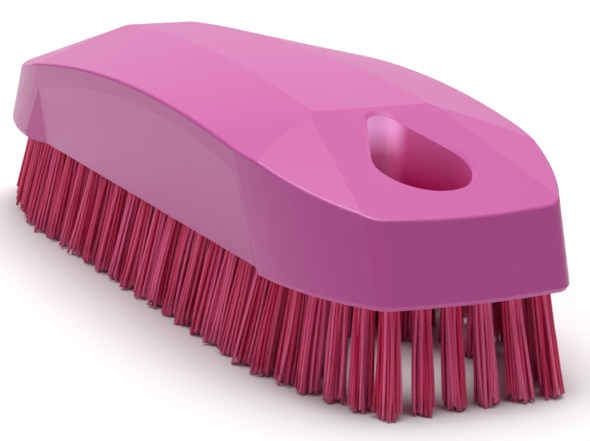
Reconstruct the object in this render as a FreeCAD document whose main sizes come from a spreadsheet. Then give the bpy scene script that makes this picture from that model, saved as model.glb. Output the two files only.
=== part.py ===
"""Nail brush: a one-piece moulded block, its bristle tufts and the wire anchors that hold them.

The long axis is X with the hanging hole at the +X end (the nose), the right side is -Y, +Z is up.
The origin is the middle of the footprint, on the plane of the bristle tips. Lengths are in millimetres.
"""
import FreeCAD
import Part
import math
import os
import re

import Sketcher

Vector = FreeCAD.Vector

# Driving dimensions: name, value, what it sets. A drop is measured down from the top of the crown, a run in from an
# end, an inset in from a long side.
DIMENSIONS = [
    # Block, outside form
    ("overall_length", 130.0, "end to end, over the bowed end faces"),
    ("overall_width", 49.0, "over the long sides at mid length"),
    ("overall_height", 37.0, "bristle tips to the top of the crown"),
    ("bristle_height", 15.0, "bristle tips to the underside of the block"),
    # Crown and the facets round it
    ("nose_crown_run", 33.1, "crease where the crown turns down to the nose"),
    ("nose_crown_half", 9.8, "half width of the crown there"),
    ("nose_crown_drop", 1.4, "that crease"),
    ("heel_crown_run", 25.0, "crease where the crown turns down to the heel"),
    ("heel_crown_half", 5.8, "half width of the crown there"),
    ("heel_crown_drop", 2.9, "that crease"),
    ("nose_edge_drop", 4.8, "top edge of a long side, level with the nose crease"),
    ("middle_edge_drop", 3.4, "top edge of a long side at mid length"),
    ("heel_edge_drop", 9.0, "top edge of a long side, level with the heel crease"),
    ("nose_shoulder_drop", 4.4, "top of the corner between a long side and a nose cheek"),
    ("heel_shoulder_drop", 7.9, "top of the corner between a long side and a heel cheek"),
    ("nose_end_drop", 9.9, "upper corner of the nose's end face"),
    ("heel_end_drop", 13.2, "upper corner of the heel's end face"),
    ("facet_lift", 0.12, "plane of an end facet over the corner of the crown"),
    # Walls
    ("end_inset", 8.8, "lower corner of an end face"),
    ("end_lean", 3.8, "lean of an end face, up to the nose's upper corner"),
    ("end_taper", 0.1, "narrowing of an end face, up to there"),
    ("end_bow", 0.9, "bow of an end face"),
    ("cheek_run", 21.5, "lower corner between a long side and its cheek"),
    ("cheek_lean", 8.8, "lean of that corner, up to the nose shoulder"),
    ("cheek_bow", 1.4, "bow of a cheek"),
    ("side_bow", 1.3, "bow of a long side at the lower edge"),
    ("corner_cut", 2.4, "start of the round of an end corner, back from its point"),
    ("corner_bow", 0.55, "bow of that round"),
    ("foot_round", 0.9, "round of the lower edge"),
    ("edge_radius", 0.5, "round of the upper edges"),
    # Grip recess in each long side
    ("recess_inset", 3.3, "panel at the underside"),
    ("recess_step", 5.0, "slope between the side and the panel, along the brush"),
    ("recess_land", 0.6, "strip of side wall between the recess and a cheek"),
    ("recess_shrink", 3.1, "shortening of the panel towards its top, at each end"),
    ("nose_recess_drop", 6.0, "where the panel runs out into the side, nose end"),
    ("heel_recess_drop", 9.4, "where the panel runs out into the side, heel end"),
    ("recess_bow", 0.5, "hollow of the panel along its top"),
    # Hanging hole
    ("hang_run", 18.1, "centre of the wide end"),
    ("hang_wide_radius", 7.3, "wide end"),
    ("hang_length", 11.0, "centre of the wide end to centre of the narrow end"),
    ("hang_narrow_radius", 2.5, "narrow end"),
    ("hang_rim", 0.5, "chamfer of both rims"),
    # Tuft field
    ("tuft_hole_radius", 1.5, "drilled hole"),
    ("tuft_hole_depth", 6.5, "drilled hole"),
    ("tuft_nip_radius", 1.25, "bundle where the anchor nips it"),
    ("tuft_tip_radius", 2.0, "bundle at the cut tips"),
    ("tuft_pitch", 4.9, "spacing along the outer ring"),
    ("field_pitch", 7.6, "spacing along the inner rows"),
    ("side_margin", 2.7, "side rows of holes to the edge of the underside"),
    ("end_margin", 3.2, "end rows of holes to the edge of the underside"),
    ("cheek_row_bow", 1.4, "bow of the ring along a cheek"),
    ("least_spacing", 5.2, "least distance from an inner hole to the ring"),
    ("least_wall", 1.2, "least wall between a tuft hole and the hanging hole"),
    # Anchors
    ("anchor_thickness", 0.4, "flat wire, across the bundle"),
    ("anchor_depth", 1.5, "flat wire, along the hole"),
    ("fold_thickness", 0.8, "filaments folded over the wire, up to the blind end"),
    # Working values
    ("overrun", 1.0, "reach of every cut past the solid"),
    ("sew_tolerance", 0.01, "widest seam closed where flat faces are joined into a solid"),
]

# Leans of the outer tufts in degrees, and the number of flats that draw a round bundle or hole
SIDE_LEAN = 11.5
END_LEAN = 13.0
END_FAN = 4.5
FLATS = 6

# A face counts as a wall below the first upward share of its normal and as a cap above the second
WALL_LIFT_SHARE = 0.5
CAP_LIFT_SHARE = 0.8

doc = FreeCAD.newDocument("nail_brush")
sheet = doc.addObject("Spreadsheet::Sheet", "Sizes")
for row, (name, number, note) in enumerate(DIMENSIONS, start=1):
    sheet.set(f"A{row}", name)
    sheet.set(f"B{row}", str(number))
    sheet.set(f"C{row}", note)
    sheet.setAlias(f"B{row}", name)
doc.recompute()
ALIASES = {name for name, _, _ in DIMENSIONS}


def bound(text):
    """An expression in the sheet's names, written so that any object of the document can be bound to it."""
    return re.sub(r"[a-z_]+", lambda word: f"Sizes.{word[0]}" if word[0] in ALIASES else word[0], text)


def size(text):
    """The value of an expression in the sheet's names."""
    return float(sheet.evalExpression(bound(text)))


def between(first, last, share):
    """The expression of a value that runs from first to last as share runs from 0 to 1."""
    return f"(({first}) + (({last}) - ({first}))*({share}))"


def origin_plane(body, role):
    """One of the three base planes of a body."""
    return next(item for item in body.Origin.OriginFeatures if item.Role == role)


def attached_sketch(body, name, role, offset):
    """An empty sketch on a base plane of a body, lifted off it by an expression."""
    sketch = body.newObject("Sketcher::SketchObject", name)
    sketch.AttachmentSupport = [(origin_plane(body, role), "")]
    sketch.MapMode = "FlatFace"
    sketch.setExpression("AttachmentOffset.Base.z", bound(offset))
    return sketch


def outline(body, name, role, offset, corners):
    """A closed counter-clockwise outline. Each corner is (x, y, bow), all expressions: bow is None where the
    edge that leaves the corner is straight, and otherwise its rise, outwards or, with a minus, inwards."""
    sketch = attached_sketch(body, name, role, offset)
    points = [Vector(size(x), size(y), 0) for x, y, _ in corners]
    ends = []
    bindings = []
    constraints = []
    for i, (x, y, bow) in enumerate(corners):
        after = (i + 1) % len(corners)
        start = points[i]
        finish = points[after]
        ends.append((1, 2))
        if bow is None:
            sketch.addGeometry(Part.LineSegment(start, finish))
        else:
            outward = Vector(finish.y - start.y, start.x - finish.x, 0).normalize()
            middle = (start + finish) * 0.5 + outward * size(bow)
            if size(bow) < 0:
                ends[i] = (2, 1)
                start, finish = finish, start
            sketch.addGeometry(Part.Arc(start, middle, finish))
            span = f"((({corners[after][0]}) - ({x}))^2 + (({corners[after][1]}) - ({y}))^2)"
            radius = f"abs({bow})/2 + {span}/(8*abs({bow}))"
            bindings.append((f"bow_{i}", radius))
            constraints.append(Sketcher.Constraint("Radius", i, size(radius)))
        bindings.append((f"x_{i}", x))
        constraints.append(Sketcher.Constraint("DistanceX", -1, 1, i, ends[i][0], size(x)))
        bindings.append((f"y_{i}", y))
        constraints.append(Sketcher.Constraint("DistanceY", -1, 1, i, ends[i][0], size(y)))
    for i, (_, finish) in enumerate(ends):
        after = (i + 1) % len(ends)
        sketch.addConstraint(Sketcher.Constraint("Coincident", i, finish, after, ends[after][0]))
    for index, (label, expression) in zip(sketch.addConstraint(constraints), bindings):
        sketch.renameConstraint(index, label)
        sketch.setExpression(f"Constraints.{label}", bound(expression))
    return sketch


def loft(body, kind, name, first, *others):
    """A straight-ruled loft from one outline to the others in turn, added or cut."""
    feature = body.newObject(f"PartDesign::{kind}Loft", name)
    feature.Profile = first
    feature.Sections = list(others)
    feature.Ruled = True
    body.Tip = feature
    doc.recompute()
    return feature


def mirrored(body, name, feature, role):
    """A feature repeated across a base plane of its body."""
    mirror = body.newObject("PartDesign::Mirrored", name)
    mirror.Originals = [feature]
    mirror.MirrorPlane = (origin_plane(body, role), [""])
    body.Tip = mirror
    doc.recompute()
    return mirror


def edges_of(shape, wanted):
    """Names of the edges whose two faces satisfy wanted(edge, face, face)."""
    names = []
    for i, edge in enumerate(shape.Edges, start=1):
        faces = shape.ancestorsOfType(edge, Part.Face)
        if len(faces) == 2 and wanted(edge, *faces):
            names.append(f"Edge{i}")
    return names


def lift(face):
    """Upward part of a face's normal at its middle: 1 on a floor seen from above, 0 on an upright wall."""
    low_u, high_u, low_v, high_v = face.ParameterRange
    return face.normalAt((low_u + high_u) / 2, (low_v + high_v) / 2).z


# Places that follow from the driving dimensions
HALF_LENGTH = "(overall_length/2)"
HALF_WIDTH = "(overall_width/2)"
END_BASE_X = f"({HALF_LENGTH} - end_bow)"
END_BASE_Y = f"({HALF_WIDTH} - end_inset)"
CHEEK_BASE_X = f"({HALF_LENGTH} - cheek_run)"
CHEEK_BASE_Y = f"({HALF_WIDTH} - side_bow)"
RECESS_BASE_X = f"({CHEEK_BASE_X} - recess_land - recess_step)"
RECESS_BASE_Y = f"({HALF_WIDTH} - recess_inset)"
HANG_WIDE_X = f"({HALF_LENGTH} - hang_run)"
HANG_NARROW_X = f"({HANG_WIDE_X} - hang_length)"
FOOT_TOP = "(bristle_height + foot_round)"
WALL_TOP = "(overall_height + overrun)"
PAST_END = f"({HALF_LENGTH} + overrun)"
PAST_SIDE = f"({HALF_WIDTH} + overrun)"
ROUND_SHARE = "(1 - sqrt(2)/2)"


def under_top(drop):
    """The expression of a height, from its drop below the top of the crown."""
    return f"(overall_height - {drop})"


def crease_x(end):
    """Where the crown turns down to an end, out from mid length."""
    return f"({HALF_LENGTH} - {end}_crown_run)"


def wall_corners(height):
    """Shoulder and end corner of the walls at one height, as (x, y) in the quarter of the left nose."""
    up_end = f"(({height} - {FOOT_TOP})/({under_top('nose_end_drop')} - {FOOT_TOP}))"
    up_cheek = f"(({height} - {FOOT_TOP})/({under_top('nose_shoulder_drop')} - {FOOT_TOP}))"
    up_side = f"(({height} - {FOOT_TOP})/({WALL_TOP} - {FOOT_TOP}))"
    shoulder = (f"({CHEEK_BASE_X} - cheek_lean*{up_cheek})", between(CHEEK_BASE_Y, HALF_WIDTH, up_side))
    corner = (f"({END_BASE_X} - end_lean*{up_end})", f"({END_BASE_Y} - end_taper*{up_end})")
    return shoulder, corner


def wall_outline(body, name, height, shoulder, corner, side_bow):
    """Plan of the block at one height, from the places of one shoulder and one end corner, which is rounded."""
    shoulder_x, shoulder_y = shoulder
    corner_x, corner_y = corner
    run = f"({corner_x} - {shoulder_x})"
    rise = f"({shoulder_y} - {corner_y})"
    back = f"corner_cut/sqrt({run}^2 + {rise}^2)"
    end_y = f"({corner_y} - corner_cut)"
    cheek_x = f"({corner_x} - {run}*{back})"
    cheek_y = f"({corner_y} + {rise}*{back})"
    quarter = [
        (corner_x, end_y, "corner_bow"),
        (cheek_x, cheek_y, "cheek_bow"),
        (shoulder_x, shoulder_y, side_bow),
    ]
    bows = ["cheek_bow", "corner_bow", "end_bow"]
    half = quarter + [(f"(0 - {x})", y, bow) for (x, y, _), bow in zip(reversed(quarter), bows)]
    turned = [(f"(0 - {x})", f"(0 - {y})", bow) for x, y, bow in half]
    return outline(body, name, "XY_Plane", height, half + turned)


def foot_outline(body, name, height, inset):
    """Plan of the rounded lower edge at one height: the walls' lower plan drawn in by an equal inset all round."""
    fall = f"(({CHEEK_BASE_Y} - {END_BASE_Y})/({END_BASE_X} - {CHEEK_BASE_X}))"
    slant = f"sqrt(1 + {fall}^2)"
    shoulder = (f"({CHEEK_BASE_X} - {inset}*({slant} - 1)/{fall})", f"({CHEEK_BASE_Y} - {inset})")
    corner = (f"({END_BASE_X} - {inset})", f"({END_BASE_Y} - {inset}*({slant} - {fall}))")
    return wall_outline(body, name, height, shoulder, corner, "side_bow")


def block_walls(body):
    """Foot and walls: the plan drawn in at the underside, ruled out to the lower edge and on up to the top."""
    low = foot_outline(body, "FootLow", "bristle_height", "foot_round")
    half_way = f"(bristle_height + foot_round*{ROUND_SHARE})"
    middle = foot_outline(body, "FootMiddle", half_way, f"(foot_round*{ROUND_SHARE})")
    base = wall_outline(body, "WallBase", FOOT_TOP, *wall_corners(FOOT_TOP), "side_bow")
    top = wall_outline(body, "WallTop", WALL_TOP, *wall_corners(WALL_TOP), None)
    return loft(body, "Additive", "Walls", low, middle, base, top)


def crown_cut(body):
    """Arched crown and the flats that fall from it to the two ends, cut through along Y."""
    nose_height = under_top("nose_crown_drop")
    heel_height = under_top("heel_crown_drop")
    tilt = f"({nose_height} - {heel_height})"
    rise = f"(overall_height - ({nose_height} + {heel_height})/2)"
    bow = f"(({rise} + sqrt({rise}^2 - {tilt}^2/4))/2)"
    past = {}
    for end in ("nose", "heel"):
        crease_height = under_top(f"{end}_crown_drop")
        end_height = under_top(f"{end}_end_drop")
        _, corner = wall_corners(end_height)
        fall = f"(({crease_height} - {end_height})/({corner[0]} - {crease_x(end)}))"
        past[end] = f"({crease_height} - {fall}*({PAST_END} - {crease_x(end)}))"
    above = f"({WALL_TOP} + overrun)"
    profile = outline(body, "CrownProfile", "XZ_Plane", "0", [
        (f"(0 - {crease_x('heel')})", heel_height, f"(0 - {bow})"),
        (crease_x("nose"), nose_height, None),
        (PAST_END, past["nose"], None),
        (PAST_END, above, None),
        (f"(0 - {PAST_END})", above, None),
        (f"(0 - {PAST_END})", past["heel"], None),
    ])
    cut = body.newObject("PartDesign::Pocket", "Crown")
    cut.Profile = profile
    cut.Type = "ThroughAll"
    cut.SideType = "Symmetric"
    body.Tip = cut
    doc.recompute()
    return cut


def side_facets(body):
    """Long side facets: ruled from the ridges of the crown, which draw together towards the heel, out to the sides.

    At the two creases and at mid length the height at the ridge and at the side gives a slope; each section of the
    cut is the arch through the three heights that these slopes reach at its distance from the middle."""
    nose_x = crease_x("nose")
    heel_x = f"(0 - {crease_x('heel')})"
    middle_half = between("heel_crown_half", "nose_crown_half", f"(0 - {heel_x})/({nose_x} - {heel_x})")
    stations = [
        ("heel_crown_half", under_top("heel_crown_drop"), under_top("heel_edge_drop")),
        (middle_half, "overall_height", under_top("middle_edge_drop")),
        ("nose_crown_half", under_top("nose_crown_drop"), under_top("nose_edge_drop")),
    ]
    above = f"({WALL_TOP} + 2*{PAST_SIDE})"
    sections = []
    for name, out in (("SideFacetInner", "0"), ("SideFacetOuter", PAST_SIDE)):
        heel, middle, nose = (
            f"({ridge} - ({out} - {half})*({ridge} - {edge})/({HALF_WIDTH} - {half}))" for half, ridge, edge in stations
        )
        first = f"(({middle} - {heel})/(0 - {heel_x}))"
        bend = f"((({nose} - {middle})/{nose_x} - {first})/({nose_x} - {heel_x}))"
        tilt = f"({first} - {bend}*{heel_x})"
        outer_nose = f"({middle} + {tilt}*{PAST_END} + {bend}*{PAST_END}^2)"
        outer_heel = f"({middle} - {tilt}*{PAST_END} + {bend}*{PAST_END}^2)"
        sections.append(outline(body, name, "XZ_Plane", out, [
            (f"(0 - {PAST_END})", outer_heel, f"({bend}*{PAST_END}^2)"),
            (PAST_END, outer_nose, None),
            (PAST_END, above, None),
            (f"(0 - {PAST_END})", above, None),
        ]))
    facet = loft(body, "Subtractive", "RightFacet", *sections)
    return mirrored(body, "LeftFacet", facet, "XZ_Plane")


def end_facets(body, end, way):
    """Flats between each cheek, the end flat and the long side: planes just over crease, shoulder and end corner."""
    crease = (crease_x(end), f"{end}_crown_half", under_top(f"{end}_crown_drop"))
    shoulder_height = under_top(f"{end}_shoulder_drop")
    corner_height = under_top(f"{end}_end_drop")
    shoulder = (*wall_corners(shoulder_height)[0], shoulder_height)
    corner = (*wall_corners(corner_height)[1], corner_height)
    run_corner, out_corner, up_corner = (f"({far} - {near})" for far, near in zip(corner, crease))
    run_shoulder, out_shoulder, up_shoulder = (f"({far} - {near})" for far, near in zip(shoulder, crease))
    area = f"({run_corner}*{out_shoulder} - {run_shoulder}*{out_corner})"
    fall_x = f"(({up_shoulder}*{out_corner} - {up_corner}*{out_shoulder})/{area})"
    fall_y = f"(({run_shoulder}*{up_corner} - {run_corner}*{up_shoulder})/{area})"
    peak = f"({crease[2]} + facet_lift + {fall_x}*{crease[0]} + {fall_y}*{crease[1]})"
    sections = []
    for part, along in (("Inner", "0"), ("Outer", PAST_END)):
        ridge = f"({peak} - {fall_x}*{along})"
        eaves = f"({ridge} - {fall_y}*{PAST_SIDE})"
        sections.append(outline(body, f"{end.title()}Facet{part}", "YZ_Plane", f"{way}*{along}", [
            (f"(0 - {PAST_SIDE})", eaves, None),
            ("0", ridge, None),
            (PAST_SIDE, eaves, None),
            (PAST_SIDE, f"({peak} + overrun)", None),
            (f"(0 - {PAST_SIDE})", f"({peak} + overrun)", None),
        ]))
    return loft(body, "Subtractive", f"{end.title()}Facets", *sections)


def grip_recess(body):
    """Grip recess: a panel that leans out to nothing at its top, lower at the heel, with a sloping step at each end."""
    step_run = f"(recess_step/({CHEEK_BASE_Y} - {RECESS_BASE_Y}))"
    top = under_top("nose_recess_drop")
    sections = []
    heights = (("RecessLow", "(bristle_height - overrun)", None), ("RecessHigh", f"({top} + overrun)", "recess_bow"))
    for name, height, hollow in heights:
        climb = f"(({height} - bristle_height)/({top} - bristle_height))"
        heel_climb = f"(({height} - bristle_height)/({under_top('heel_recess_drop')} - bristle_height))"
        panel_x = f"({RECESS_BASE_X} - recess_shrink*{climb})"
        nose_y = f"({RECESS_BASE_Y} + recess_inset*{climb})"
        heel_y = f"({RECESS_BASE_Y} + recess_inset*{heel_climb})"
        nose_mouth = f"({panel_x} + ({PAST_SIDE} - {nose_y})*{step_run})"
        heel_mouth = f"({panel_x} + ({PAST_SIDE} - {heel_y})*{step_run})"
        sections.append(outline(body, name, "XY_Plane", height, [
            (f"(0 - {heel_mouth})", f"(0 - {PAST_SIDE})", None),
            (nose_mouth, f"(0 - {PAST_SIDE})", None),
            (panel_x, f"(0 - {nose_y})", hollow),
            (f"(0 - {panel_x})", f"(0 - {heel_y})", None),
        ]))
    recess = loft(body, "Subtractive", "RightRecess", *sections)
    return mirrored(body, "LeftRecess", recess, "XZ_Plane")


def hanging_hole(body):
    """Drop-shaped hole right through the nose: two round ends joined by straight flanks."""
    sketch = attached_sketch(body, "HangingHoleOutline", "XY_Plane", "0")
    wide_x, wide_radius = size(HANG_WIDE_X), size("hang_wide_radius")
    narrow_x, narrow_radius = size(HANG_NARROW_X), size("hang_narrow_radius")
    turn = math.acos((narrow_radius - wide_radius) / (wide_x - narrow_x))
    normal = Vector(math.cos(turn), math.sin(turn), 0)
    flip = Vector(normal.x, -normal.y, 0)
    wide = Vector(wide_x, 0, 0)
    narrow = Vector(narrow_x, 0, 0)
    east = Vector(wide_radius, 0, 0)
    west = Vector(-narrow_radius, 0, 0)
    sketch.addGeometry(Part.Arc(wide + flip * wide_radius, wide + east, wide + normal * wide_radius))
    sketch.addGeometry(Part.LineSegment(wide + normal * wide_radius, narrow + normal * narrow_radius))
    sketch.addGeometry(Part.Arc(narrow + normal * narrow_radius, narrow + west, narrow + flip * narrow_radius))
    sketch.addGeometry(Part.LineSegment(narrow + flip * narrow_radius, wide + flip * wide_radius))
    for i in range(4):
        sketch.addConstraint(Sketcher.Constraint("Tangent", i, 2, (i + 1) % 4, 1))
    for i in (0, 2):
        sketch.addConstraint(Sketcher.Constraint("PointOnObject", i, 3, -1))
    bindings = [
        ("wide_x", HANG_WIDE_X, Sketcher.Constraint("DistanceX", -1, 1, 0, 3, wide_x)),
        ("wide_radius", "hang_wide_radius", Sketcher.Constraint("Radius", 0, wide_radius)),
        ("narrow_x", HANG_NARROW_X, Sketcher.Constraint("DistanceX", -1, 1, 2, 3, narrow_x)),
        ("narrow_radius", "hang_narrow_radius", Sketcher.Constraint("Radius", 2, narrow_radius)),
    ]
    for label, expression, constraint in bindings:
        index = sketch.addConstraint(constraint)
        sketch.renameConstraint(index, label)
        sketch.setExpression(f"Constraints.{label}", bound(expression))
    hole = body.newObject("PartDesign::Pocket", "HangingHole")
    hole.Profile = sketch
    hole.Type = "ThroughAll"
    hole.Reversed = True
    body.Tip = hole
    doc.recompute()
    return hole


def soft_edges(body, base):
    """Rounds along the upper edges, where the walls meet the crown and its facets."""
    def upper_edge(edge, one, two):
        steep, flat = sorted((abs(lift(one)), abs(lift(two))))
        above = edge.CenterOfMass.z > size(f"{FOOT_TOP} + overrun")
        return above and steep < WALL_LIFT_SHARE and flat > CAP_LIFT_SHARE
    fillet = body.newObject("PartDesign::Fillet", "SoftEdges")
    fillet.Base = (base, edges_of(base.Shape, upper_edge))
    fillet.setExpression("Radius", bound("edge_radius"))
    body.Tip = fillet
    doc.recompute()
    return fillet


def hole_rims(body, base):
    """Chamfers round the hanging hole, above and below."""
    flank = size("hang_wide_radius")
    low_x = size(f"{HANG_NARROW_X} - hang_narrow_radius")
    high_x = size(f"{HANG_WIDE_X} + hang_wide_radius")

    def rim(edge, one, two):
        middle = edge.CenterOfMass
        steep, flat = sorted((abs(lift(one)), abs(lift(two))))
        near = low_x < middle.x < high_x and abs(middle.y) < flank
        return near and steep < WALL_LIFT_SHARE and flat > CAP_LIFT_SHARE
    chamfer = body.newObject("PartDesign::Chamfer", "HoleRims")
    chamfer.Base = (base, edges_of(base.Shape, rim))
    chamfer.setExpression("Size", bound("hang_rim"))
    body.Tip = chamfer
    doc.recompute()
    return chamfer


def moulded_block():
    """The bare moulding, before its tuft holes are drilled."""
    body = doc.addObject("PartDesign::Body", "Moulding")
    block_walls(body)
    crown_cut(body)
    side_facets(body)
    end_facets(body, "nose", 1)
    end_facets(body, "heel", -1)
    recesses = grip_recess(body)
    soft_edges(body, recesses)
    hole = hanging_hole(body)
    hole_rims(body, hole)
    return body


def ring_rows():
    """Outer ring of tufts: rows of (x, y, lean along x, lean along y) by name, the leans in degrees."""
    pitch = size("tuft_pitch")
    side_y = size(f"{RECESS_BASE_Y} - side_margin")
    end_x = size(f"{END_BASE_X} - end_margin")
    side_count = 2 * math.floor(size(f"{RECESS_BASE_X}/tuft_pitch + 1/2"))
    end_count = 2 * math.floor(size(f"{END_BASE_Y}/tuft_pitch"))
    side_xs = [(i - (side_count - 1) / 2) * pitch for i in range(side_count)]
    end_ys = [(i - (end_count - 1) / 2) * pitch for i in range(end_count)]
    run = end_x - side_xs[-1]
    drop = side_y - end_ys[-1]
    chord = math.hypot(run, drop)
    outward = (drop / chord, run / chord)
    cheek_count = math.floor(chord / pitch)
    cheek = []
    for i in range(cheek_count):
        share = (i + 1) / (cheek_count + 1)
        bow = 4 * share * (1 - share) * size("cheek_row_bow")
        x = side_xs[-1] + run * share + outward[0] * bow
        y = side_y - drop * share + outward[1] * bow
        cheek.append((x, y, END_LEAN * share, END_FAN * share + SIDE_LEAN * (1 - share)))
    rows = {}
    for side, turn in (("right", -1), ("left", 1)):
        rows[f"{side}_side"] = [(x, turn * side_y, 0, turn * SIDE_LEAN) for x in side_xs]
        for end, way in (("nose", 1), ("heel", -1)):
            rows[f"{end}_{side}_cheek"] = [
                (way * x, turn * y, way * lean_x, turn * lean_y) for x, y, lean_x, lean_y in cheek
            ]
    for end, way in (("nose", 1), ("heel", -1)):
        rows[f"{end}_end"] = [(way * end_x, y, way * END_LEAN, END_FAN * y / end_ys[-1]) for y in end_ys]
    return rows


def clear_of_hanging_hole(x, y):
    """Whether a tuft hole at a place leaves a wall between itself and the hanging hole."""
    wide_x, wide_radius = size(HANG_WIDE_X), size("hang_wide_radius")
    narrow_x, narrow_radius = size(HANG_NARROW_X), size("hang_narrow_radius")
    share = min(1, max(0, (x - narrow_x) / (wide_x - narrow_x)))
    radius = narrow_radius + (wide_radius - narrow_radius) * share
    gap = math.hypot(x - narrow_x - (wide_x - narrow_x) * share, y) - radius
    return gap >= size("tuft_hole_radius + least_wall")


def field_rows(ring):
    """Upright inner rows, staggered, where they clear the outer ring and the hanging hole."""
    pitch = size("field_pitch")
    spacing = size(f"({RECESS_BASE_Y} - side_margin)/3")
    reach = math.ceil(size(f"{HALF_LENGTH}/field_pitch"))
    outer = [place for row in ring.values() for place in row]
    names = ("right_outer_row", "right_inner_row", "middle_row", "left_inner_row", "left_outer_row")
    rows = {}
    for i, name in enumerate(names):
        y = (i - 2) * spacing
        stagger = pitch / 2 if i % 2 else 0
        rows[name] = []
        for step in range(-reach, reach + 1):
            x = step * pitch + stagger
            apart = min(math.hypot(x - place[0], y - place[1]) for place in outer)
            inside = abs(x) < size(f"{END_BASE_X} - end_margin") and apart >= size("least_spacing")
            if inside and clear_of_hanging_hole(x, y):
                rows[name].append((x, y, 0, 0))
    return rows


def hole_frame(place):
    """Frame of one tuft hole: its mouth on the underside, Z into the block, X along the wire, across the brush."""
    x, y, lean_x, lean_y = place
    tilt = FreeCAD.Rotation(Vector(lean_y, -lean_x, 0), math.hypot(lean_x, lean_y))
    across = FreeCAD.Rotation(Vector(1, 0, 0), Vector(0, 1, 0))
    return FreeCAD.Placement(Vector(x, y, size("bristle_height")), tilt * across)


def flats_ring(frame, radius, height):
    """Corners of a regular polygon round the axis of a frame."""
    step = 2 * math.pi / FLATS
    return [
        frame.multVec(Vector(radius * math.cos((i + 0.5) * step), radius * math.sin((i + 0.5) * step), height))
        for i in range(FLATS)
    ]


def hull_of_rings(low, high):
    """Solid between two rings of corners whose side faces are flat."""
    count = len(low)
    loops = [low, high]
    loops += [[low[i], low[(i + 1) % count], high[(i + 1) % count], high[i]] for i in range(count)]
    faces = [Part.Face(Part.makePolygon(loop + loop[:1])) for loop in loops]
    solid = Part.Solid(Part.Shell(faces))
    solid.fix(size("sew_tolerance"), size("sew_tolerance"), size("sew_tolerance"))
    return solid


def drill(place):
    """Blind hole for one tuft."""
    frame = hole_frame(place)
    radius = size("tuft_hole_radius") / math.cos(math.pi / FLATS)
    mouth = flats_ring(frame, radius, -size("overrun"))
    blind_end = flats_ring(frame, radius, size("tuft_hole_depth"))
    return hull_of_rings(mouth, blind_end)


def anchor(place):
    """Flat wire under the fold of one bundle, jammed between the walls of its hole."""
    length = size("2*tuft_hole_radius")
    thickness = size("anchor_thickness")
    depth = size("anchor_depth")
    corner = Vector(-length / 2, -thickness / 2, size("tuft_hole_depth - fold_thickness - anchor_depth"))
    bar = Part.makeBox(length, thickness, depth, corner)
    bar.Placement = hole_frame(place)
    return bar


def tuft(place):
    """One bundle of filaments, folded over its anchor, opening towards tips that are cut level."""
    frame = hole_frame(place)
    fold = flats_ring(frame, size("tuft_nip_radius"), size("tuft_hole_depth"))
    spread = flats_ring(frame, size("tuft_tip_radius"), -size("bristle_height"))
    tips = [top + (end - top) * (top.z / (top.z - end.z)) for top, end in zip(fold, spread)]
    return hull_of_rings(tips, fold).cut(anchor(place))


def group(name, shapes):
    """A named sub-part made of separate solids."""
    feature = doc.addObject("Part::Feature", name)
    feature.Label = name
    feature.Shape = Part.Compound(shapes)
    feature.Placement = FreeCAD.Placement()
    return feature


moulding = moulded_block()
ring = ring_rows()
rows = {**ring, **field_rows(ring)}
drills = group("tuft_drills", [drill(place) for row in rows.values() for place in row])
block = doc.addObject("Part::Cut", "block")
block.Label = "block"
block.Base = moulding
block.Tool = drills
parts = [block]
for name, places in rows.items():
    parts.append(group(f"tufts_{name}", [tuft(place) for place in places]))
    parts.append(group(f"anchors_{name}", [anchor(place) for place in places]))
doc.recompute()

for item in doc.Objects:
    if {"Invalid", "Error"} & set(item.State):
        raise RuntimeError(f"{item.Label} failed: {item.State}")
for item in parts:
    if item.Shape.isNull() or not item.Shape.isValid():
        raise RuntimeError(f"{item.Label} has no valid shape")
os.makedirs("parts", exist_ok=True)
for item in parts:
    item.Shape.exportStep(f"parts/{item.Label}.step")
    print(item.Label, len(item.Shape.Solids), "solids", round(item.Shape.Volume, 1), "mm3")
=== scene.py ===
"""Looks of the nail brush: a glossy moulded block, and tufts in which each stiff filament is a tube of its own.

The frame is the CAD part's, in metres: X along the brush with the hanging hole at +X, Z up, the bristle tips
on Z = 0.
"""

import math

import bpy
import numpy as np
from mathutils import Matrix, Vector


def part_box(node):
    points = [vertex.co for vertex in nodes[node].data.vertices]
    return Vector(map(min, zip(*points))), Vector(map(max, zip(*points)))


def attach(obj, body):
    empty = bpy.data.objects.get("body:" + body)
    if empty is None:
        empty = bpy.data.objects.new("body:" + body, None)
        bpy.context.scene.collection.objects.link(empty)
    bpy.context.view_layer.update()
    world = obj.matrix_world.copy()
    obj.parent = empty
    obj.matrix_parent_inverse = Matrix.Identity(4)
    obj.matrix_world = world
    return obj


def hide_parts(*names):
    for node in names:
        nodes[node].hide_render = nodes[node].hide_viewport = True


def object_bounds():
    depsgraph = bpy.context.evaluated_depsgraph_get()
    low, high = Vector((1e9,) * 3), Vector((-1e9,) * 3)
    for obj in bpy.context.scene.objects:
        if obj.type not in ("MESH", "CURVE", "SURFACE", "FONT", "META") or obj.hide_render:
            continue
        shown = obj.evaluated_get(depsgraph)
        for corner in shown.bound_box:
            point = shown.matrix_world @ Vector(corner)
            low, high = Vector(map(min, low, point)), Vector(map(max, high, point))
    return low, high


MM = 0.001
IMAGE_WIDTH = 590

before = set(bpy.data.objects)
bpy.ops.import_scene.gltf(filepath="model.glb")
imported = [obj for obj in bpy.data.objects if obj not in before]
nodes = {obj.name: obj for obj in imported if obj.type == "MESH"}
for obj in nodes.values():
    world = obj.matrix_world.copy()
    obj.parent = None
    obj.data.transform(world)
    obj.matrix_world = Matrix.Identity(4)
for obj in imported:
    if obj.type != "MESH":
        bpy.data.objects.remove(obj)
cad_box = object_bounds()
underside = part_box("block")[0].z

# Camera, fitted to the corners of the block
CAMERA_AZIMUTH = math.radians(61.01)
CAMERA_ELEVATION = math.radians(15.39)
CAMERA_ROLL = math.radians(3.0)
CAMERA_PLACE = Vector((349.92, -187.94, 119.49)) * MM
FOCAL_PIXELS = 2584.0
SENSOR_WIDTH = 36.0

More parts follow.
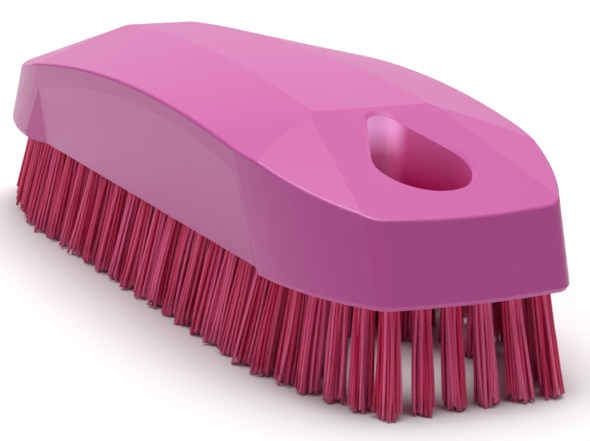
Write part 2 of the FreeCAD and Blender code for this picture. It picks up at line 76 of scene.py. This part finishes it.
# Finish of the block
PIGMENT_CLOUD = 14 * MM
RUBBED_PATCH = 6 * MM
PEEL_PITCH = 0.9 * MM
PEEL_DEPTH = 0.05 * MM
PEEL_SHARE = 0.015

# Hanging hole: the room it takes up, and how far normals rise on its wall and rim, as a middle and a half
HOLE_MIDDLE = 43.8 * MM
HOLE_HALF_LENGTH = 11.3 * MM
HOLE_HALF_WIDTH = 8.1 * MM
HOLE_LIT_MIDDLE = 30 * MM
HOLE_LIT_HALF_HEIGHT = 8 * MM
WALL_RISE_SHARES = (0.0, 0.3)
RIM_RISE_SHARES = (0.6, 0.28)

# Hanging hole: how far its faces lean open, and where its painted light and shade change
WALL_FLARE_SHARE = 0.15
SCOOP_FLARE_SHARE = 0.7
RIM_FLARE_SHARE = 3.0
SCOOP_FULL_PLACE = 34.9 * MM
SCOOP_END_PLACE = 37.4 * MM
SCOOP_DIM_SHARE = 0.45
HOLE_RED_HEIGHT = 25 * MM
HOLE_PINK_HEIGHT = 33 * MM

# Filaments
FILAMENTS_PER_TUFT = 36
FILAMENT_RADIUS = 0.24 * MM
FILAMENT_SIDES = 5
THICKNESS_SHARES = (0.9, 1.1)
FREE_STATIONS = 5
FOLD_SPREAD_SHARE = 0.8
MOUTH_RADIUS = 1.55 * MM
TIP_RADIUS = 1.95 * MM
TIP_WANDER = 0.2 * MM
BOW = 0.12 * MM
CUT_SPREAD = 0.6 * MM
CUT_LEAST = 0.07 * MM
STRAY_SHARE = 0.07
STRAY_REACH = 0.55 * MM
BOX_MARGIN = 1.1 * FILAMENT_RADIUS
SCUFF_START_SHARE = 0.9
SCUFF_SHARE = 0.35
GOLDEN_ANGLE = math.pi * (3 - math.sqrt(5))
SEED = 7

# Solids of the tufts: corners of a cut face, and the heights within which the cut faces and the folds lie
TUFT_CORNERS = 6
CUT_BAND = 0.1 * MM
FOLD_BAND = 0.75 * MM

# Finish of the anchors
DRAW_LINE = 0.06 * MM
DRAW_DEPTH = 0.01 * MM
DRAW_SHARE = 0.2
DRAW_STRETCH_SHARE = 0.05

# Studio: the board, and the softboxes with place, width, height, radiance and colour
BOARD_HALF = 1.0
BOARD_GRAIN = 30 * MM
WORLD_STRENGTH = 0.12
LIT_PLACE = (0, 0, 0.02)
SOFTBOXES = {
    "overhead": ((-0.12, 0.06, 0.9), 0.7, 0.7, 6.7, "#FFFFFF"),
    "side_fill": ((0.05, -0.6, 0.75), 0.5, 0.5, 1.5, "#FFFFFF"),
    "back_card": ((-0.9, 0.5, 0.38), 1.5, 0.74, 0.62, "#F8F8FF"),
}


def srgb(text):
    """Linear colour of an sRGB hex value."""
    value = np.array([int(text[i:i + 2], 16) for i in (1, 3, 5)]) / 255
    linear = np.where(value <= 0.04045, value / 12.92, ((value + 0.055) / 1.055) ** 2.4)
    return (*linear, 1.0)


def add(tree, kind, inputs=None, ends=(), **settings):
    """A node with its inputs (values, or other nodes' outputs to link), a ramp's end colours and settings."""
    node = tree.nodes.new(kind)
    for name, value in settings.items():
        setattr(node, name, value)
    for name, value in (inputs or {}).items():
        if isinstance(value, bpy.types.NodeSocket):
            tree.links.new(value, node.inputs[name])
        else:
            node.inputs[name].default_value = value
    for index, text in enumerate(ends):
        node.color_ramp.elements[index].color = srgb(text)
    return node


def new_material(name):
    """An empty material: its tree, and its shader joined to the output."""
    material = bpy.data.materials.new(name)
    material.use_nodes = True
    tree = material.node_tree
    tree.nodes.clear()
    shader = add(tree, "ShaderNodeBsdfPrincipled")
    add(tree, "ShaderNodeOutputMaterial", {"Surface": shader.outputs["BSDF"]})
    return material, tree, shader


def hole_mask(tree, where, normal, rise_shares):
    """One on the hole's faces whose normals rise by a middle share, give or take a half; zero elsewhere."""
    facing = add(tree, "ShaderNodeSeparateXYZ", {"Vector": normal})
    tests = [
        (where["X"], HOLE_MIDDLE, HOLE_HALF_LENGTH),
        (where["Y"], 0.0, HOLE_HALF_WIDTH),
        (where["Z"], HOLE_LIT_MIDDLE, HOLE_LIT_HALF_HEIGHT),
        (facing.outputs["Z"], *rise_shares),
    ]
    mask = 1.0
    for value, middle, half in tests:
        test = add(tree, "ShaderNodeMath", {0: value, 1: middle, 2: half}, operation="COMPARE")
        mask = add(tree, "ShaderNodeMath", {0: test.outputs[0], 1: mask}, operation="MULTIPLY").outputs[0]
    return mask


def flared(tree, normal, wall, rim, scoop):
    """Normal that leans the hole's wall open towards its rim, most at the scoop, and lays the rim flatter."""
    share = add(tree, "ShaderNodeMapRange",
                {"Value": scoop, "To Min": WALL_FLARE_SHARE, "To Max": SCOOP_FLARE_SHARE})
    wall_lean = add(tree, "ShaderNodeMath", {0: wall, 1: share.outputs["Result"]}, operation="MULTIPLY")
    lean = add(tree, "ShaderNodeMath", {0: rim, 1: RIM_FLARE_SHARE, 2: wall_lean.outputs[0]},
               operation="MULTIPLY_ADD")
    upwards = add(tree, "ShaderNodeCombineXYZ", {"Z": lean.outputs[0]})
    leaned = add(tree, "ShaderNodeVectorMath", {0: normal, 1: upwards.outputs["Vector"]}, operation="ADD")
    flat = add(tree, "ShaderNodeVectorMath", {0: leaned.outputs["Vector"]}, operation="NORMALIZE")
    return flat.outputs["Vector"]


def moulded_polypropylene():
    """Injection-moulded polypropylene, pink: soft gloss, faint orange peel, and painted light, painted shade
    and a painted glow inside its hole.
    """
    material, tree, shader = new_material("moulded_polypropylene")
    place = add(tree, "ShaderNodeTexCoord").outputs["Object"]
    where = add(tree, "ShaderNodeSeparateXYZ", {"Vector": place}).outputs
    normal = add(tree, "ShaderNodeNewGeometry").outputs["Normal"]
    wall = hole_mask(tree, where, normal, WALL_RISE_SHARES)
    rim = hole_mask(tree, where, normal, RIM_RISE_SHARES)
    # Scoop at the narrow end of the hanging hole, fading out along its sides
    fade = add(tree, "ShaderNodeMapRange",
               {"Value": where["X"], "From Min": SCOOP_END_PLACE, "From Max": SCOOP_FULL_PLACE},
               interpolation_type="SMOOTHSTEP")
    scoop = fade.outputs["Result"]
    # Faint clouds of pigment
    clouds = add(tree, "ShaderNodeTexNoise", {"Vector": place, "Scale": 1 / PIGMENT_CLOUD, "Detail": 3.0})
    pigment = add(tree, "ShaderNodeValToRGB", {"Fac": clouds.outputs["Fac"]}, ends=("#C4559B", "#C75AA0"))
    # Rubbed patches change the gloss
    patches = add(tree, "ShaderNodeTexNoise", {"Vector": place, "Scale": 1 / RUBBED_PATCH, "Detail": 4.0})
    gloss = add(tree, "ShaderNodeMapRange",
                {"Value": patches.outputs["Fac"], "To Min": 0.29, "To Max": 0.35})
    # Orange peel, drawn as coarse as it needs to show
    peel = add(tree, "ShaderNodeTexNoise", {"Vector": place, "Scale": 1 / PEEL_PITCH, "Detail": 2.0})
    bump = add(tree, "ShaderNodeBump", {
        "Height": peel.outputs["Fac"], "Strength": PEEL_SHARE, "Distance": PEEL_DEPTH,
        "Normal": flared(tree, normal, wall, rim, scoop),
    })
    # Painted light and shade inside the hole: the colour is paler pink under the rim and darker red with depth
    height = add(tree, "ShaderNodeMapRange",
                 {"Value": where["Z"], "From Min": HOLE_RED_HEIGHT, "From Max": HOLE_PINK_HEIGHT})
    depth = height.outputs["Result"]
    hole_painted_light_and_shade = add(tree, "ShaderNodeValToRGB", {"Fac": depth}, ends=("#CE1272", "#FF7CCA"))
    base = add(tree, "ShaderNodeMix",
               {"Factor": wall, "A": pigment.outputs["Color"], "B": hole_painted_light_and_shade.outputs["Color"]},
               data_type="RGBA")
    # Painted glow: emission inside the hole that stands in for light on its wall, strongest at the top of the
    # scoop, where it is a painted highlight
    wall_painted_glow = add(tree, "ShaderNodeValToRGB", {"Fac": depth}, ends=("#000000", "#3C1C24"))
    scoop_painted_highlight = add(tree, "ShaderNodeValToRGB", {"Fac": depth}, ends=("#4B273F", "#A481A2"))
    scoop_painted_highlight.color_ramp.elements[0].position = SCOOP_DIM_SHARE
    light = add(tree, "ShaderNodeMix",
                {"Factor": scoop, "A": wall_painted_glow.outputs["Color"], "B": scoop_painted_highlight.outputs["Color"]},
                data_type="RGBA")
    painted_hole_glow = add(tree, "ShaderNodeMix", {"Factor": wall, "A": srgb("#000000"), "B": light.outputs["Result"]},
               data_type="RGBA")
    tree.links.new(base.outputs["Result"], shader.inputs["Base Color"])
    # The hole's painted glow goes to the emission
    tree.links.new(painted_hole_glow.outputs["Result"], shader.inputs["Emission Color"])
    tree.links.new(gloss.outputs["Result"], shader.inputs["Roughness"])
    tree.links.new(bump.outputs["Normal"], shader.inputs["Normal"])
    shader.inputs["Emission Strength"].default_value = 1.0
    shader.inputs["IOR"].default_value = 1.49
    return material


def extruded_polyester():
    """Extruded polyester filament, dark rose: satin, each of its own tone, scuffed pale at the cut."""
    material, tree, shader = new_material("extruded_polyester_filament")
    tone = add(tree, "ShaderNodeAttribute", attribute_name="filament_tone").outputs["Fac"]
    run = add(tree, "ShaderNodeAttribute", attribute_name="filament_run").outputs["Fac"]
    body = add(tree, "ShaderNodeValToRGB", {"Fac": tone}, ends=("#D40E50", "#FB70A0"))
    scuff = add(tree, "ShaderNodeMapRange",
                {"Value": run, "From Min": SCUFF_START_SHARE, "To Max": SCUFF_SHARE})
    colour = add(tree, "ShaderNodeMix",
                 {"Factor": scuff.outputs["Result"], "A": body.outputs["Color"], "B": srgb("#F280A6")},
                 data_type="RGBA")
    tree.links.new(colour.outputs["Result"], shader.inputs["Base Color"])
    shader.inputs["Roughness"].default_value = 0.42
    shader.inputs["Specular IOR Level"].default_value = 0.35
    shader.inputs["IOR"].default_value = 1.55
    return material


def drawn_stainless():
    """Drawn flat stainless wire: a bright metal with fine lines along the draw."""
    material, tree, shader = new_material("drawn_stainless_wire")
    place = add(tree, "ShaderNodeTexCoord").outputs["Object"]
    along = add(tree, "ShaderNodeMapping", {"Vector": place, "Scale": (1.0, DRAW_STRETCH_SHARE, 1.0)})
    lines = add(tree, "ShaderNodeTexNoise",
                {"Vector": along.outputs["Vector"], "Scale": 1 / DRAW_LINE, "Detail": 3.0}).outputs["Fac"]
    gloss = add(tree, "ShaderNodeMapRange", {"Value": lines, "To Min": 0.2, "To Max": 0.42})
    bump = add(tree, "ShaderNodeBump", {"Height": lines, "Strength": DRAW_SHARE, "Distance": DRAW_DEPTH})
    tree.links.new(gloss.outputs["Result"], shader.inputs["Roughness"])
    tree.links.new(bump.outputs["Normal"], shader.inputs["Normal"])
    shader.inputs["Base Color"].default_value = srgb("#C9C7C2")
    shader.inputs["Metallic"].default_value = 1.0
    return material


def painted_board():
    """White painted board under the brush: matt, with a faint grain."""
    material, tree, shader = new_material("painted_board")
    place = add(tree, "ShaderNodeTexCoord").outputs["Object"]
    grain = add(tree, "ShaderNodeTexNoise", {"Vector": place, "Scale": 1 / BOARD_GRAIN, "Detail": 4.0})
    colour = add(tree, "ShaderNodeValToRGB", {"Fac": grain.outputs["Fac"]}, ends=("#E8E8E8", "#ECECEC"))
    tree.links.new(colour.outputs["Color"], shader.inputs["Base Color"])
    shader.inputs["Roughness"].default_value = 0.8
    shader.inputs["Specular IOR Level"].default_value = 0.2
    return material


def unit(vectors):
    """Vectors along the last axis, made one long."""
    return vectors / np.linalg.norm(vectors, axis=-1, keepdims=True)


def across(offsets, sides):
    """Offsets along a tuft's two cross directions as vectors: the sum of each offset times its direction."""
    return np.einsum("tfk,tkd->tfd", offsets, sides)


def tuft_axes(node):
    """Middles of each tuft's fold and of its cut face, read from the row's solids.

    The corners of a row's lowest and highest faces are put in order along the row, and every six belong to one
    tuft."""
    corners = np.empty(len(node.data.vertices) * 3)
    node.data.vertices.foreach_get("co", corners)
    corners = np.unique(corners.reshape(-1, 3).round(6), axis=0)
    along = 0 if np.ptp(corners[:, 0]) > np.ptp(corners[:, 1]) else 1
    tips = corners[corners[:, 2] < CUT_BAND]
    folds = corners[corners[:, 2] > corners[:, 2].max() - FOLD_BAND]
    ordered = (group[np.argsort(group[:, along])] for group in (folds, tips))
    return tuple(group.reshape(-1, TUFT_CORNERS, 3).mean(axis=1) for group in ordered)


def filament_paths(fold, tip, sides, chance):
    """Middle lines and radii of a row's filaments, by tuft, filament and station.

    A filament has a station in the fold, one at the mouth of the hole and four more down to its cut. The
    filaments of a tuft lie on a sunflower spiral of the disc (radius as the root of the number, angle by the
    golden angle), which widens from the mouth to the tips. A filament strays from its ray by a random offset at
    the tip, bows by 4 s (1 - s) in a random direction, and is cut at its own height."""
    tufts = len(fold)
    shape = (tufts, FILAMENTS_PER_TUFT)
    axis = unit(tip - fold)
    mouth = fold + axis * ((underside - fold[:, 2:]) / axis[:, 2:])

    number = np.arange(FILAMENTS_PER_TUFT)
    angle = number * GOLDEN_ANGLE + chance.uniform(0, 2 * math.pi, (tufts, 1))
    reach = np.sqrt((number + 0.5) / FILAMENTS_PER_TUFT)
    disc = np.stack([np.cos(angle), np.sin(angle)], axis=-1) * reach[:, None]
    stray = chance.random(shape) < STRAY_SHARE
    wander = chance.normal(0, TIP_WANDER, (*shape, 2))
    wander += chance.normal(0, STRAY_REACH, (*shape, 2)) * stray[..., None]
    bow = chance.normal(0, BOW, (*shape, 2))
    cut = CUT_LEAST + np.abs(chance.normal(0, CUT_SPREAD, shape))
    radius = FILAMENT_RADIUS * chance.uniform(*THICKNESS_SHARES, shape)

    mouth_disc = disc * (MOUTH_RADIUS - FILAMENT_RADIUS)
    tip_disc = disc * (TIP_RADIUS - FILAMENT_RADIUS)
    root = fold[:, None] + across(mouth_disc * FOLD_SPREAD_SHARE, sides)
    start = mouth[:, None] + across(mouth_disc, sides)
    end = tip[:, None] + across(tip_disc + wander, sides)
    end = start + (end - start) * ((start[..., 2] - cut) / (start[..., 2] - end[..., 2]))[..., None]
    run = np.linspace(0, 1, FREE_STATIONS)
    free = start[:, :, None] + (end - start)[:, :, None] * run[:, None]
    free += across(bow, sides)[:, :, None] * (4 * run * (1 - run))[:, None]
    path = np.concatenate([root[:, :, None], free], axis=2)
    low, high = (np.array(corner)[:2] for corner in cad_box)
    path[..., :2] = np.clip(path[..., :2], low + BOX_MARGIN, high - BOX_MARGIN)
    return path, radius


def tube_mesh(name, path, radius, sides):
    """One mesh of closed five-sided tubes: a ring of corners round each station of a path, joined by walls."""
    turn = np.arange(FILAMENT_SIDES) * 2 * math.pi / FILAMENT_SIDES
    ring = np.stack([np.cos(turn), np.sin(turn)], axis=-1) @ sides
    points = path[:, :, :, None] + ring[:, None, None] * radius[:, :, None, None, None]
    grid = np.arange(points.size // 3).reshape(-1, path.shape[2], FILAMENT_SIDES)
    beside = np.roll(grid, -1, axis=2)
    walls = np.stack([grid[:, :-1], beside[:, :-1], beside[:, 1:], grid[:, 1:]], axis=-1).reshape(-1, 4)
    caps = np.concatenate([grid[:, 0, ::-1], grid[:, -1]])
    mesh = bpy.data.meshes.new(name)
    mesh.from_pydata(points.reshape(-1, 3), [], walls.tolist() + caps.tolist())
    smooth = np.concatenate([np.ones(len(walls), bool), np.zeros(len(caps), bool)])
    mesh.polygons.foreach_set("use_smooth", smooth)
    return mesh


def filament_row(row, seed):
    """Every filament of a row as one piece, each with its own tone and its run down from the mouth."""
    node = nodes[f"tufts_{row}"]
    fold, tip = tuft_axes(node)
    chance = np.random.default_rng(seed)
    axis = unit(tip - fold)
    first = unit(np.cross(axis, [1.0, 0.0, 0.0]))
    sides = np.stack([first, np.cross(axis, first)], axis=1)
    path, radius = filament_paths(fold, tip, sides, chance)
    mesh = tube_mesh(f"filaments_{row}", path, radius, sides)
    tone = np.repeat(chance.random(radius.size), path.shape[2] * FILAMENT_SIDES)
    run = np.concatenate([[0.0], np.linspace(0, 1, FREE_STATIONS)])
    run = np.tile(np.repeat(run, FILAMENT_SIDES), radius.size)
    for name, values in (("filament_tone", tone), ("filament_run", run)):
        mesh.attributes.new(name, "FLOAT", "POINT").data.foreach_set("value", values.astype(np.float32))
    mesh.update()
    piece = bpy.data.objects.new(f"filaments_{row}", mesh)
    bpy.context.scene.collection.objects.link(piece)
    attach(piece, "root")
    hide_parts(node.name)
    return piece


def dress(piece, material):
    """One material over a whole piece."""
    piece.data.materials.clear()
    piece.data.materials.append(material)


def board():
    """Floor: one flat square, its corners at plus and minus its half width."""
    mesh = bpy.data.meshes.new("floor")
    corners = np.array([(-1, -1, 0), (1, -1, 0), (1, 1, 0), (-1, 1, 0)]) * BOARD_HALF
    mesh.from_pydata(corners, [], [(0, 1, 2, 3)])
    floor = bpy.data.objects.new("floor", mesh)
    bpy.context.scene.collection.objects.link(floor)
    return floor


def softbox(name, place, width, height, radiance, colour):
    """Area light that faces the brush, its power worked out from how bright its face is."""
    light = bpy.data.lights.new(name, "AREA")
    light.shape = "RECTANGLE"
    light.size = width
    light.size_y = height
    light.energy = radiance * math.pi * width * height
    light.color = srgb(colour)[:3]
    lamp = bpy.data.objects.new(name, light)
    lamp.location = place
    lamp.rotation_euler = (Vector(LIT_PLACE) - Vector(place)).to_track_quat("-Z", "Y").to_euler()
    bpy.context.scene.collection.objects.link(lamp)


def studio_world():
    """Even white light from all round."""
    world = bpy.data.worlds.new("studio")
    world.use_nodes = True
    background = world.node_tree.nodes["Background"]
    background.inputs["Color"].default_value = srgb("#FFFFFF")
    background.inputs["Strength"].default_value = WORLD_STRENGTH
    bpy.context.scene.world = world


def photo_camera():
    """Camera at the place, turn and roll fitted to the photograph."""
    back = Vector((
        math.sin(CAMERA_AZIMUTH) * math.cos(CAMERA_ELEVATION),
        -math.cos(CAMERA_AZIMUTH) * math.cos(CAMERA_ELEVATION),
        math.sin(CAMERA_ELEVATION),
    ))
    level = Vector((math.cos(CAMERA_AZIMUTH), math.sin(CAMERA_AZIMUTH), 0))
    upright = back.cross(level)
    right = level * math.cos(CAMERA_ROLL) + upright * math.sin(CAMERA_ROLL)
    up = upright * math.cos(CAMERA_ROLL) - level * math.sin(CAMERA_ROLL)
    lens = bpy.data.cameras.new("camera")
    lens.sensor_fit = "HORIZONTAL"
    lens.sensor_width = SENSOR_WIDTH
    lens.lens = SENSOR_WIDTH * FOCAL_PIXELS / IMAGE_WIDTH
    camera = bpy.data.objects.new("camera", lens)
    turn = Matrix((right, up, back)).transposed().to_4x4()
    camera.matrix_world = Matrix.Translation(CAMERA_PLACE) @ turn
    bpy.context.scene.collection.objects.link(camera)
    bpy.context.scene.camera = camera


# Pieces
dress(nodes["block"], moulded_polypropylene())
polyester = extruded_polyester()
steel = drawn_stainless()
rows = sorted(name.removeprefix("tufts_") for name in nodes if name.startswith("tufts_"))
for index, row in enumerate(rows):
    dress(filament_row(row, SEED + index), polyester)
    dress(nodes[f"anchors_{row}"], steel)

# Studio
dress(board(), painted_board())
photo_camera()
for name, settings in SOFTBOXES.items():
    softbox(name, *settings)
studio_world()
bpy.context.scene.view_settings.view_transform = "Standard"
